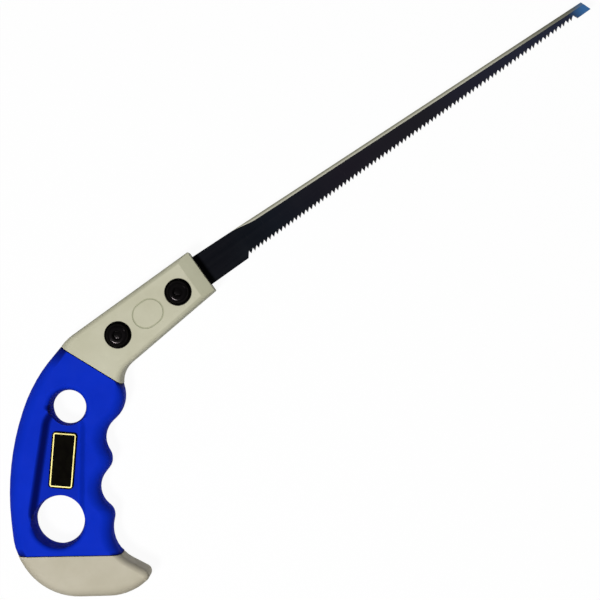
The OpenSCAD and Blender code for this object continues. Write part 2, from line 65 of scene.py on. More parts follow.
# Distance in millimetres from a face or a seam beyond which a point counts as off it
SKIN = 0.02
# Distance in metres within which vertices are one, and angle within which faces are
MERGE_GAP = 0.002 * MM
FLAT_ANGLE = math.radians(0.4)
# Place along X, in millimetres, where the blade leaves the head
HEAD_END = -38.17
# Fall of the blade's back towards the tip and the length over which it falls, in millimetres
BACK_FALL = 9.0
BACK_LENGTH = 229.4
HEX_SIDES = 6

Mesh = bmesh.types.BMesh
Edge = bmesh.types.BMEdge
Node = bpy.types.Node
Socket = bpy.types.NodeSocket
Value = Union[Socket, float, Sequence[float]]
Colour = tuple[float, float, float]
Triple = tuple[float, float, float]
Pair = tuple[float, float]


class Body(Enum):
    """Bodies of the CAD model that pieces ride on."""

    HANDLE = "handle"
    WASHER_FRONT = "washer_front"
    BOLT_FRONT = "bolt_front"
    WASHER_REAR = "washer_rear"
    BOLT_REAR = "bolt_rear"


class Slot(Enum):
    """Material slots of the record."""

    IVORY = "ivory_moulding"
    BLUE = "blue_grip"
    BLADE = "blade_steel"
    FASTENER = "black_fastener"
    NUT = "nut_steel"
    PLATE = "plate"


class Graph:
    """Node tree of a material, a world or a group, with short calls that place and join nodes."""

    per_row: int = 12
    column_w: int = 190
    row_h: int = 260
    # Places of the colour sockets on Blender's Mix node
    mix_inputs: tuple[int, int] = (6, 7)
    mix_result: int = 2

    def __init__(self, tree: bpy.types.NodeTree) -> None:
        """Takes the tree that the nodes go into."""
        self.tree = tree
        self.placed = 0

    def node(self, kind: str, **settings: object) -> Node:
        """Places one node.

        Args:
            kind: Blender's name of the node type.
            settings: Attributes to set on the node.

        Returns:
            The new node.
        """
        made = self.tree.nodes.new(kind)
        for key, value in settings.items():
            setattr(made, key, value)
        row, column = divmod(self.placed, self.per_row)
        made.location = (self.column_w * column, -self.row_h * row)
        self.placed += 1
        return made

    def feed(self, target: Socket, value: Value) -> None:
        """Links a socket to an input, or sets the input's own value.

        Args:
            target: The input.
            value: A socket to link, or a constant.
        """
        if isinstance(value, bpy.types.NodeSocket):
            self.tree.links.new(value, target)
        else:
            target.default_value = value

    def fill(self, node: Node, **values: Value) -> Node:
        """Feeds several inputs of a node.

        Args:
            node: The node.
            values: Its inputs by name, with _ in place of each space.

        Returns:
            The same node.
        """
        for name, value in values.items():
            self.feed(node.inputs[name.replace("_", " ")], value)
        return node

    def math(self, operation: str, a: Value, b: Value = 0.0, c: Value = 0.0) -> Socket:
        """Works out up to three values.

        Args:
            operation: Blender's name of the operation.
            a: First value.
            b: Second value.
            c: Third value.

        Returns:
            The result.
        """
        made = self.node("ShaderNodeMath", operation=operation)
        for target, value in zip(made.inputs, (a, b, c)):
            self.feed(target, value)
        return made.outputs[0]

    def times(self, value: Value, gain: Value) -> Socket:
        """Returns the product of a value and a gain."""
        return self.math("MULTIPLY", value, gain)

    def linear(self, value: Value, gain: Value, lift: Value) -> Socket:
        """Returns the product of a value and a gain, plus a lift."""
        return self.math("MULTIPLY_ADD", value, gain, lift)

    def axes(self, vector: Socket) -> bpy.types.NodeOutputs:
        """Returns a vector's X, Y and Z."""
        return self.fill(self.node("ShaderNodeSeparateXYZ"), Vector=vector).outputs

    def noise(self, vector: Socket, scale: Value, detail: float, rough: float) -> Socket:
        """Draws a noise pattern.

        Args:
            vector: Where the pattern is read.
            scale: Waves to the metre.
            detail: Octaves of finer waves.
            rough: Weight of the finer waves.

        Returns:
            A value around 0.5.
        """
        made = self.node("ShaderNodeTexNoise")
        return self.fill(made, Vector=vector, Scale=scale, Detail=detail, Roughness=rough).outputs[0]

    def span(self, value: Socket, low: float, high: float, to: Pair = (0.0, 1.0)) -> Socket:
        """Carries a value smoothly from one span to another.

        Args:
            value: The value.
            low: Start of its span.
            high: End of its span.
            to: Start and end of the new span.

        Returns:
            The new value, which stays in the new span.
        """
        made = self.node("ShaderNodeMapRange", interpolation_type="SMOOTHSTEP")
        self.fill(made, Value=value, From_Min=low, From_Max=high, To_Min=to[0], To_Max=to[1])
        return made.outputs[0]

    def ramp(self, value: Socket, stops: Sequence[tuple[float, Colour]]) -> Socket:
        """Draws a colour ramp.

        Args:
            value: Place on the ramp, from 0 to 1.
            stops: Places and their colours, in order.

        Returns:
            The colour.
        """
        made = self.node("ShaderNodeValToRGB")
        elements = made.color_ramp.elements
        while len(elements) < len(stops):
            elements.new(0.5)
        for element, (place, colour) in zip(elements, stops):
            element.position = place
            element.color = (*colour, 1.0)
        self.feed(made.inputs[0], value)
        return made.outputs[0]

    def mix(self, factor: Value, a: Value, b: Value) -> Socket:
        """Mixes two colours.

        Args:
            factor: Share of the second colour.
            a: First colour.
            b: Second colour.

        Returns:
            The mixed colour.
        """
        made = self.node("ShaderNodeMix", data_type="RGBA")
        self.feed(made.inputs[0], factor)
        for place, colour in zip(self.mix_inputs, (a, b)):
            linked = isinstance(colour, bpy.types.NodeSocket)
            self.feed(made.inputs[place], colour if linked else (*colour, 1.0))
        return made.outputs[self.mix_result]

    def blend(self, factor: Value, a: Socket, b: Socket) -> Socket:
        """Mixes two shaders.

        Args:
            factor: Share of the second shader.
            a: First shader.
            b: Second shader.

        Returns:
            The mixed shader.
        """
        made = self.node("ShaderNodeMixShader")
        for target, value in zip(made.inputs, (factor, a, b)):
            self.feed(target, value)
        return made.outputs[0]

    def stretch(self, vector: Socket, scale: Triple, turn: float = 0.0) -> Socket:
        """Turns a vector about Z and scales it on each axis.

        Args:
            vector: The vector.
            scale: Its scale on each axis.
            turn: The angle in radians.

        Returns:
            The new vector.
        """
        made = self.node("ShaderNodeMapping", vector_type="POINT")
        return self.fill(made, Vector=vector, Rotation=(0.0, 0.0, turn), Scale=scale).outputs[0]

    def bump(self, height: Socket, depth: float, strength: float) -> Socket:
        """Raises a surface by a height pattern.

        Args:
            height: The pattern.
            depth: Its depth in metres.
            strength: Share of the effect that shows.

        Returns:
            The raised normal.
        """
        made = self.node("ShaderNodeBump")
        return self.fill(made, Strength=strength, Distance=depth, Height=height).outputs[0]

    def use(self, group: bpy.types.NodeTree, **values: Value) -> bpy.types.NodeOutputs:
        """Places a node group.

        Args:
            group: The group.
            values: Its inputs by name.

        Returns:
            Its outputs.
        """
        return self.fill(self.node("ShaderNodeGroup", node_tree=group), **values).outputs


def fresh_graph(owner: Union[bpy.types.Material, bpy.types.World]) -> Graph:
    """Gives a material or a world an empty node tree.

    Args:
        owner: The material or world.

    Returns:
        The tree, ready to draw in.
    """
    owner.use_nodes = True
    owner.node_tree.nodes.clear()
    return Graph(owner.node_tree)


class EffectGroup:
    """Shader node group with named sockets, built once and shared by several finishes."""

    name: str = ""
    inputs: dict[str, str] = {}
    outputs: Sequence[str] = ()

    def draw(self, graph: Graph, vector: Socket, *scales: Socket) -> dict[str, Socket]:
        """Draws the effect.

        Args:
            graph: The group's own tree.
            vector: Where the effect is read.
            scales: The group's other inputs, in order.

        Returns:
            A socket for each output.
        """
        raise NotImplementedError

    def tree(self) -> bpy.types.NodeTree:
        """Builds the group on the first call.

        Returns:
            The group.
        """
        found = bpy.data.node_groups.get(self.name)
        if found:
            return found
        made = bpy.data.node_groups.new(self.name, "ShaderNodeTree")
        for name, kind in self.inputs.items():
            made.interface.new_socket(name=name, in_out="INPUT", socket_type=kind)
        for name in self.outputs:
            made.interface.new_socket(name=name, in_out="OUTPUT", socket_type="NodeSocketFloat")
        graph = Graph(made)
        entry = graph.node("NodeGroupInput")
        drawn = self.draw(graph, *(entry.outputs[name] for name in self.inputs))
        graph.fill(graph.node("NodeGroupOutput"), **drawn)
        return made


class MouldedGrain(EffectGroup):
    """Fine spark-eroded grain of a mould, with slow clouds of tone from the filling."""

    name = "moulded_grain"
    inputs = {"Vector": "NodeSocketVector", "Grain": "NodeSocketFloat", "Clouds": "NodeSocketFloat"}
    outputs = ("Height", "Tone", "Polish")
    pit_scale: float = 0.6
    pit_share: float = 0.5
    polish_scale: float = 3.1

    def draw(self, graph: Graph, vector: Socket, *scales: Socket) -> dict[str, Socket]:
        """Draws the height of the grain, the tone of the clouds and the polish.

        Args:
            graph: The group's own tree.
            vector: Where the effect is read.
            scales: Waves to the metre of the grain and of the clouds.

        Returns:
            A socket for each output.
        """
        fine, slow = scales
        grain = graph.noise(vector, fine, detail=2.0, rough=0.6)
        pits = graph.node("ShaderNodeTexVoronoi", feature="SMOOTH_F1")
        graph.fill(pits, Vector=vector, Scale=graph.times(fine, self.pit_scale))
        height = graph.linear(pits.outputs["Distance"], self.pit_share, grain)
        tone = graph.noise(vector, slow, detail=4.0, rough=0.6)
        polish = graph.noise(vector, graph.times(slow, self.polish_scale), detail=3.0, rough=0.5)
        return {
            "Height": height,
            "Tone": graph.span(tone, low=0.25, high=0.75),
            "Polish": graph.span(polish, low=0.3, high=0.7),
        }


class GrindingLines(EffectGroup):
    """Fine scratches of a grinding wheel, drawn out along the vector's X axis."""

    name = "grinding_lines"
    inputs = {"Vector": "NodeSocketVector", "Lines": "NodeSocketFloat"}
    outputs = ("Height", "Streak")
    drawn_out: Triple = (0.03, 1.0, 1.0)
    broad_scale: float = 0.18
    fine_share: float = 0.4

    def draw(self, graph: Graph, vector: Socket, *scales: Socket) -> dict[str, Socket]:
        """Draws the height of the scratches and slow streaks of tone.

        Args:
            graph: The group's own tree.
            vector: Where the effect is read.
            scales: Scratches to the metre.

        Returns:
            A socket for each output.
        """
        drawn = graph.stretch(vector, self.drawn_out)
        fine = graph.noise(drawn, scales[0], detail=3.0, rough=0.7)
        broad = graph.noise(drawn, graph.times(scales[0], self.broad_scale), detail=2.0, rough=0.5)
        streak = graph.linear(fine, self.fine_share, broad)
        return {"Height": fine, "Streak": graph.span(streak, low=0.45, high=0.95)}


class HandlingMarks(EffectGroup):
    """Faint rubbed patches and hairline scratches of a handled surface."""

    name = "handling_marks"
    inputs = {"Vector": "NodeSocketVector", "Patches": "NodeSocketFloat"}
    outputs = ("Rubbed", "Hairline")
    hair_stretch: Triple = (9.0, 0.5, 3.0)
    hair_turn: float = math.radians(24)
    hair_scale: float = 6.0

    def draw(self, graph: Graph, vector: Socket, *scales: Socket) -> dict[str, Socket]:
        """Draws masks of rubbed patches and of hairlines.

        Args:
            graph: The group's own tree.
            vector: Where the effect is read.
            scales: Patches to the metre.

        Returns:
            A socket for each output.
        """
        patch = graph.noise(vector, scales[0], detail=5.0, rough=0.62)
        crossed = graph.stretch(vector, self.hair_stretch, self.hair_turn)
        hair = graph.noise(crossed, graph.times(scales[0], self.hair_scale), detail=2.0, rough=0.5)
        return {
            "Rubbed": graph.span(patch, low=0.52, high=0.72),
            "Hairline": graph.span(hair, low=0.66, high=0.74),
        }


GRAIN = MouldedGrain()
LINES = GrindingLines()
MARKS = HandlingMarks()


@dataclass(frozen=True)
class Finish:
    """Surface finish of a piece, drawn as one procedural material."""

    name: str

    def draw(self, graph: Graph, place: Socket, shader: Node) -> None:
        """Draws the finish.

        Args:
            graph: The material's tree.
            place: Object coordinates in metres.
            shader: The Principled BSDF to feed.
        """
        raise NotImplementedError

    @lru_cache(maxsize=None)
    def material(self) -> bpy.types.Material:
        """Makes the material on the first call.

        Returns:
            The material.
        """
        made = bpy.data.materials.new(self.name)
        graph = fresh_graph(made)
        place = graph.node("ShaderNodeTexCoord").outputs["Object"]
        shader = graph.node("ShaderNodeBsdfPrincipled")
        self.draw(graph, place, shader)
        graph.fill(graph.node("ShaderNodeOutputMaterial"), Surface=shader.outputs[0])
        return made


@dataclass(frozen=True)
class MouldedFinish(Finish):
    """Moulded plastic or rubber with a fine grain, cloudy tone, rubbed patches and painted shade."""

    light: Colour
    dark: Colour
    rubbed: Colour
    # Colour that painted shade darkens the surface towards
    painted_shade_colour: Colour
    roughness: float
    polish: float
    specular: float
    grain: float = 2600.0
    clouds: float = 45.0
    patches: float = 38.0
    rub_share: float = 0.3
    hair_rough: float = 0.06
    depth: float = 0.03 * MM
    relief: float = 0.6

    def draw(self, graph: Graph, place: Socket, shader: Node) -> None:
        """Draws the moulding.

        Args:
            graph: The material's tree.
            place: Object coordinates in metres.
            shader: The Principled BSDF to feed.
        """
        grain = graph.use(GRAIN.tree(), Vector=place, Grain=self.grain, Clouds=self.clouds)
        marks = graph.use(MARKS.tree(), Vector=place, Patches=self.patches)
        tone = graph.mix(grain["Tone"], self.dark, self.light)
        worn = graph.times(marks["Rubbed"], self.rub_share)
        # Painted shade: the vertex attribute darkens the colour towards the shade colour
        painted_shade = graph.node("ShaderNodeAttribute", attribute_name=PAINTED_SHADE).outputs["Fac"]
        handled = graph.mix(worn, tone, self.rubbed)
        colour = graph.mix(painted_shade, handled, self.painted_shade_colour)
        rough = graph.linear(grain["Polish"], -self.polish, self.roughness)
        graph.fill(
            shader,
            Base_Color=colour,
            Roughness=graph.linear(marks["Hairline"], self.hair_rough, rough),
            Normal=graph.bump(grain["Height"], self.depth, self.relief),
            Specular_IOR_Level=self.specular,
        )


# Colours of the blade's coat from heel to tip: near-black tones of its own, lifted and turned bluer
# towards the tip as painted reflection
COAT_TONES = (
    (0.0, (0.003, 0.0035, 0.006)),
    (0.04, (0.0035, 0.005, 0.008)),
    (0.1, (0.006, 0.008, 0.013)),
    (0.3, (0.012, 0.0105, 0.016)),
    (0.6, (0.014, 0.013, 0.018)),
    (0.8, (0.0165, 0.0165, 0.03)),
    (1.0, (0.02, 0.025, 0.05)),
)
# Colours of the ground band, counted from the back of the blade: the bright ground steel, with its cream
# and olive strips painted as reflection
GROUND_TONES = (
    (0.0, (0.17, 0.165, 0.11)),
    (0.2, (0.27, 0.265, 0.2)),
    (0.38, (0.28, 0.275, 0.205)),
    (0.55, (0.43, 0.42, 0.325)),
    (0.75, (0.53, 0.52, 0.42)),
    (1.0, (0.48, 0.47, 0.385)),
)


@dataclass(frozen=True)
class BladeSteel(Finish):
    """Dark baked coat, lifted towards the tip by painted reflection and a painted bluish highlight, and a
    ground band along its back.
    """

    tip_x: float
    slope: float
    offset: float
    heel_x: float = -38.0 * MM
    lines: float = 1400.0
    patches: float = 60.0
    drift_scale: float = 30.0
    drift_share: float = 0.12
    streak: Colour = (0.018, 0.018, 0.022)
    streak_share: float = 0.2
    scuff: Colour = (0.1, 0.1, 0.1)
    scuff_share: float = 0.06
    # Painted highlight: bright blue that the coat turns to over the last millimetres of the tip, where
    # the ground band fades
    tip_sheen: Colour = (0.045, 0.15, 0.36)
    tip_sheen_from: float = 12.0 * MM
    tip_sheen_full: float = 2.0 * MM
    tip_sheen_fade: float = 0.65
    band_w: float = 1.7 * MM
    band_least: float = 0.02 * MM
    band_from: float = -16.0 * MM
    band_full: float = -1.0 * MM
    band_fade: float = 2.0 * MM
    band_edge: Pair = (0.92, 1.06)
    ripple: float = 0.16
    dull: Colour = (0.11, 0.11, 0.08)
    dull_from: float = 125.0 * MM
    dull_full: float = 185.0 * MM
    dull_share: float = 0.8
    roughness: float = 0.26
    rub_rough: float = 0.08
    band_rough: float = 0.1
    depth: float = 0.006 * MM
    relief: float = 0.5
    specular: float = 0.03

    def coat(self, graph: Graph, x: Socket, drift: Socket) -> Socket:
        """Draws the coat's colours along the blade, lifted towards the tip by painted reflection.

        Args:
            graph: The material's tree.
            x: Place along the blade.
            drift: Slow noise that makes the colours wander.

        Returns:
            The colour of the coat.
        """
        along = graph.span(x, self.heel_x, self.tip_x)
        along = graph.linear(graph.math("SUBTRACT", drift, 0.5), self.drift_share, along)
        return graph.ramp(along, COAT_TONES)

    def band(
        self, graph: Graph, x: Socket, y: Socket, lines: Socket, tip_sheen: Socket
    ) -> tuple[Socket, Socket]:
        """Draws the ground band's outline.

        Args:
            graph: The material's tree.
            x: Place along the blade.
            y: Place across the blade.
            lines: Height of the grinding lines, which fray the outline.
            tip_sheen: Mask of the painted highlight at the tip, where the band fades.

        Returns:
            The mask of the band, and the share of its width counted from the back.
        """
        back = graph.linear(x, self.slope, self.offset)
        inside = graph.math("SUBTRACT", back, y)
        width = graph.span(x, self.band_from, self.band_full, (self.band_least, self.band_w))
        ripple = graph.linear(lines, self.ripple, -self.ripple / 2)
        across = graph.math("ADD", graph.math("DIVIDE", inside, width), ripple)
        mask = graph.span(across, *self.band_edge, to=(1.0, 0.0))
        mask = graph.times(mask, graph.span(x, self.band_from, self.band_from + self.band_fade))
        mask = graph.times(mask, graph.linear(tip_sheen, -self.tip_sheen_fade, 1.0))
        return mask, across

    def ground(self, graph: Graph, x: Socket, across: Socket) -> Socket:
        """Draws the colours of the ground band, partly painted reflection, duller towards the tip.

        Args:
            graph: The material's tree.
            x: Place along the blade.
            across: Share of the band's width, counted from the back.

        Returns:
            The colour of the band.
        """
        tone = graph.ramp(across, GROUND_TONES)
        dull = graph.span(x, self.dull_from, self.dull_full, (0.0, self.dull_share))
        return graph.mix(dull, tone, self.dull)

    def draw(self, graph: Graph, place: Socket, shader: Node) -> None:
        """Draws the coat, its painted highlight at the tip and the ground band.

        Args:
            graph: The material's tree.
            place: Object coordinates in metres.
            shader: The Principled BSDF to feed.
        """
        x, y, _ = graph.axes(place)
        drift = graph.noise(place, self.drift_scale, detail=3.0, rough=0.6)
        lines = graph.use(LINES.tree(), Vector=place, Lines=self.lines)
        marks = graph.use(MARKS.tree(), Vector=place, Patches=self.patches)
        streak = graph.times(lines["Streak"], self.streak_share)
        coat = graph.mix(streak, self.coat(graph, x, drift), self.streak)
        scuffed = graph.times(marks["Hairline"], self.scuff_share)
        coat = graph.mix(scuffed, coat, self.scuff)
        # Painted highlight at the tip
        tip_sheen = graph.span(x, self.tip_x - self.tip_sheen_from, self.tip_x - self.tip_sheen_full)
        coat = graph.mix(tip_sheen, coat, self.tip_sheen)
        band, across = self.band(graph, x, y, lines["Height"], tip_sheen)
        colour = graph.mix(band, coat, self.ground(graph, x, across))
        rough = graph.linear(marks["Rubbed"], self.rub_rough, self.roughness)
        graph.fill(
            shader,
            Base_Color=colour,
            Roughness=graph.linear(band, self.band_rough, rough),
            Normal=graph.bump(lines["Height"], self.depth, self.relief),
            Specular_IOR_Level=self.specular,
        )


@dataclass(frozen=True)
class BareSteel(Finish):
    """Bare or plated steel with machining marks."""

    light: Colour
    dark: Colour
    metallic: float
    roughness: float
    lines: float = 1800.0
    patches: float = 160.0
    spot_share: float = 0.35
    spot_rough: float = 0.12
    depth: float = 0.012 * MM
    relief: float = 0.5

    def draw(self, graph: Graph, place: Socket, shader: Node) -> None:
        """Draws the steel.

        Args:
            graph: The material's tree.
            place: Object coordinates in metres.
            shader: The Principled BSDF to feed.
        """
        lines = graph.use(LINES.tree(), Vector=place, Lines=self.lines)
        marks = graph.use(MARKS.tree(), Vector=place, Patches=self.patches)
        tone = graph.mix(lines["Streak"], self.dark, self.light)
        spots = graph.times(marks["Rubbed"], self.spot_share)
        graph.fill(
            shader,
            Base_Color=graph.mix(spots, tone, self.dark),
            Metallic=self.metallic,
            Roughness=graph.linear(marks["Rubbed"], self.spot_rough, self.roughness),
            Normal=graph.bump(lines["Height"], self.depth, self.relief),
        )


@dataclass(frozen=True)
class BlackOxide(Finish):
    """Blackened steel of the fasteners, a little browned and rubbed."""

    dark: Colour
    brown: Colour
    worn: Colour
    grain: float = 5200.0
    clouds: float = 240.0
    patches: float = 220.0
    worn_share: float = 0.35
    metallic: float = 0.7
    roughness: float = 0.12
    polish: float = 0.03
    depth: float = 0.001 * MM
    relief: float = 0.4
    specular: float = 0.02
    tint: tuple[float, float, float, float] = (0.2, 0.2, 0.2, 1.0)

    def draw(self, graph: Graph, place: Socket, shader: Node) -> None:
        """Draws the oxide.

        Args:
            graph: The material's tree.
            place: Object coordinates in metres.
            shader: The Principled BSDF to feed.
        """
        marks = graph.use(MARKS.tree(), Vector=place, Patches=self.patches)
        grain = graph.use(GRAIN.tree(), Vector=place, Grain=self.grain, Clouds=self.clouds)
        tone = graph.mix(grain["Tone"], self.dark, self.brown)
        worn = graph.times(marks["Rubbed"], self.worn_share)
        graph.fill(
            shader,
            Base_Color=graph.mix(worn, tone, self.worn),
            Roughness=graph.linear(grain["Polish"], self.polish, self.roughness),
            Normal=graph.bump(grain["Height"], self.depth, self.relief),
            Metallic=self.metallic,
            Specular_IOR_Level=self.specular,
            Specular_Tint=self.tint,
        )


@dataclass(frozen=True)
class Enamel(Finish):
    """Painted or gilded face of the small plate."""

    light: Colour
    dark: Colour
    metallic: float
    roughness: float
    grain: float = 4200.0
    clouds: float = 320.0
    patches: float = 180.0
    rub_rough: float = 0.1
    depth: float = 0.004 * MM
    relief: float = 0.4
    specular: float = 0.0

    def draw(self, graph: Graph, place: Socket, shader: Node) -> None:
        """Draws the face.

        Args:
            graph: The material's tree.
            place: Object coordinates in metres.
            shader: The Principled BSDF to feed.
        """
        grain = graph.use(GRAIN.tree(), Vector=place, Grain=self.grain, Clouds=self.clouds)
        marks = graph.use(MARKS.tree(), Vector=place, Patches=self.patches)
        graph.fill(
            shader,
            Base_Color=graph.mix(grain["Tone"], self.dark, self.light),
            Metallic=self.metallic,
            Roughness=graph.linear(marks["Rubbed"], self.rub_rough, self.roughness),
            Normal=graph.bump(grain["Height"], self.depth, self.relief),
            Specular_IOR_Level=self.specular,
        )


def dihedral(edge: Edge) -> float:
    """Returns the angle between an edge's two faces in degrees, or 0 at a border."""
    return math.degrees(edge.calc_face_angle(0.0)) if len(edge.link_faces) == 2 else 0.0


def at_height(edge: Edge, z: float) -> bool:
    """Returns whether both ends of an edge lie at one height."""
    return all(abs(v.co.z - z) < TOUCH * MM for v in edge.verts)


def rims(bm: Mesh, least: float = RIM_ANGLE) -> list[Edge]:
    """Returns the outward edges of a mesh that are sharper than an angle in degrees."""
    return [e for e in bm.edges if dihedral(e) > least and e.is_convex]


def border(bm: Mesh, z: float) -> list[Edge]:
    """Returns the open edges of a mesh at one height."""
    return [e for e in bm.edges if len(e.link_faces) < 2 and at_height(e, z)]


def merged_copy(node: str) -> Mesh:
    """Copies a CAD node's mesh with its loose triangles merged.

    Args:
        node: Name of the CAD node.

    Returns:
        A closed mesh whose flat faces are whole.
    """
    bm = bmesh.new()
    bm.from_mesh(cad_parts[node].data)
    bmesh.ops.remove_doubles(bm, verts=bm.verts[:], dist=MERGE_GAP)
    bmesh.ops.dissolve_limit(
        bm, angle_limit=FLAT_ANGLE, verts=bm.verts[:], edges=bm.edges[:], delimit=set()
    )
    bmesh.ops.recalc_face_normals(bm, faces=bm.faces[:])
    return bm


def soften(bm: Mesh, edges: Sequence[Edge], width: float, steps: int = 2) -> None:
    """Rounds off chosen edges.

    Args:
        bm: The mesh.
        edges: Its edges to round.
        width: Width of the rounding in metres.
        steps: Facets across it.
    """
    bmesh.ops.bevel(
        bm,
        geom=list(edges),
        offset=width,
        offset_type="OFFSET",
        affect="EDGES",
        segments=steps,
        profile=0.5,
        material=-1,
        clamp_overlap=False,
    )


def wire(bm: Mesh, profile: Sequence[Pair], centre: Vector) -> list[Union[bmesh.types.BMVert, Edge]]:
    """Draws a profile beside an upright axis.

    Args:
        bm: The mesh to draw in.
        profile: Radius and height of each point, in metres.
        centre: A point on the axis; its height is not used.

    Returns:
        The profile's vertices and edges.
    """
    verts = [bm.verts.new((centre.x + r, centre.y, z)) for r, z in profile]
    return verts + [bm.edges.new(pair) for pair in zip(verts, verts[1:])]


def turned(profile: Sequence[Pair], centre: Vector, steps: int) -> Mesh:
    """Turns a profile about an upright axis.

    Args:
        profile: Radius and height of each point, in metres.
        centre: A point on the axis; its height is not used.
        steps: Facets round the axis.

    Returns:
        The turned mesh, closed where the profile meets the axis.
    """
    bm = bmesh.new()
    bmesh.ops.spin(
        bm,
        geom=wire(bm, profile, centre),
        cent=centre,
        axis=(0, 0, 1),
        angle=2 * math.pi,
        steps=steps,
        use_merge=True,
        use_duplicate=False,
    )
    bmesh.ops.remove_doubles(bm, verts=bm.verts[:], dist=0.0005 * MM)
    return bm


def add_object(name: str, data: bpy.types.ID) -> bpy.types.Object:
    """Adds an object to the scene.

    Args:
        name: Its name.
        data: The mesh, lamp or camera that it shows.

    Returns:
        The object.
    """
    made = bpy.data.objects.new(name, data)
    bpy.context.scene.collection.objects.link(made)
    return made


def add_mesh(name: str, bm: Mesh) -> bpy.types.Object:
    """Adds a finished mesh to the scene.

    Args:
        name: Name of the mesh and of its object.
        bm: The mesh, which is freed.

    Returns:
        The object.
    """
    mesh = bpy.data.meshes.new(name)
    bm.to_mesh(mesh)
    bm.free()
    return add_object(name, mesh)


@dataclass
class Piece:
    """One visible piece that stands for a CAD node."""

    name: str
    node: str
    body: Body
    slot: Slot
    finishes: Sequence[Finish]
    crease: float = 32.0
    even_weight: int = 60

    def shape(self) -> Mesh:
        """Returns the piece's mesh, at its place in the frame."""
        raise NotImplementedError

    def build(self) -> bpy.types.Object:
        """Builds, shades and dresses the piece.

        Returns:
            The finished object, riding on its body.
        """
        bm = self.shape()
        for face in bm.faces:
            face.smooth = True
        for edge in bm.edges:
            edge.smooth = dihedral(edge) <= self.crease
        made = add_mesh(self.name, bm)
        self.dress(made)
        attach(made, self.body.value)
        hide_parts(self.node)
        LOG.info("%s: %d faces on body %s", self.name, len(made.data.polygons), self.body.value)
        return made

    def dress(self, made: bpy.types.Object) -> None:
        """Gives the object its materials and evens its shading.

        Args:
            made: The object.
        """
        for finish in self.finishes:
            made.data.materials.append(finish.material())
        even = made.modifiers.new("even_shading", "WEIGHTED_NORMAL")
        even.mode = "FACE_AREA"
        even.weight = self.even_weight
        even.keep_sharp = True


@dataclass
class Seam:
    """Upright plane where soft grip and hard handle meet."""

    point: Pair
    angle: float
    reach: float = 0.3

    def off(self, place: Vector) -> float:
        """Measures how far a place lies from the seam.

        Args:
            place: The place.

        Returns:
            The distance in millimetres, negative towards the pommel.
        """
        turn = math.radians(self.angle)
        x, y = place.x / MM - self.point[0], place.y / MM - self.point[1]
        return math.cos(turn) * y - math.sin(turn) * x

    def normal(self) -> Vector:
        """Returns the direction in which the distance grows."""
        turn = math.radians(self.angle)
        return Vector((-math.sin(turn), math.cos(turn), 0.0))

    def holds(self, edge: Edge) -> bool:
        """Returns whether an edge runs along the seam."""
        return all(abs(self.off(v.co)) < self.reach for v in edge.verts)


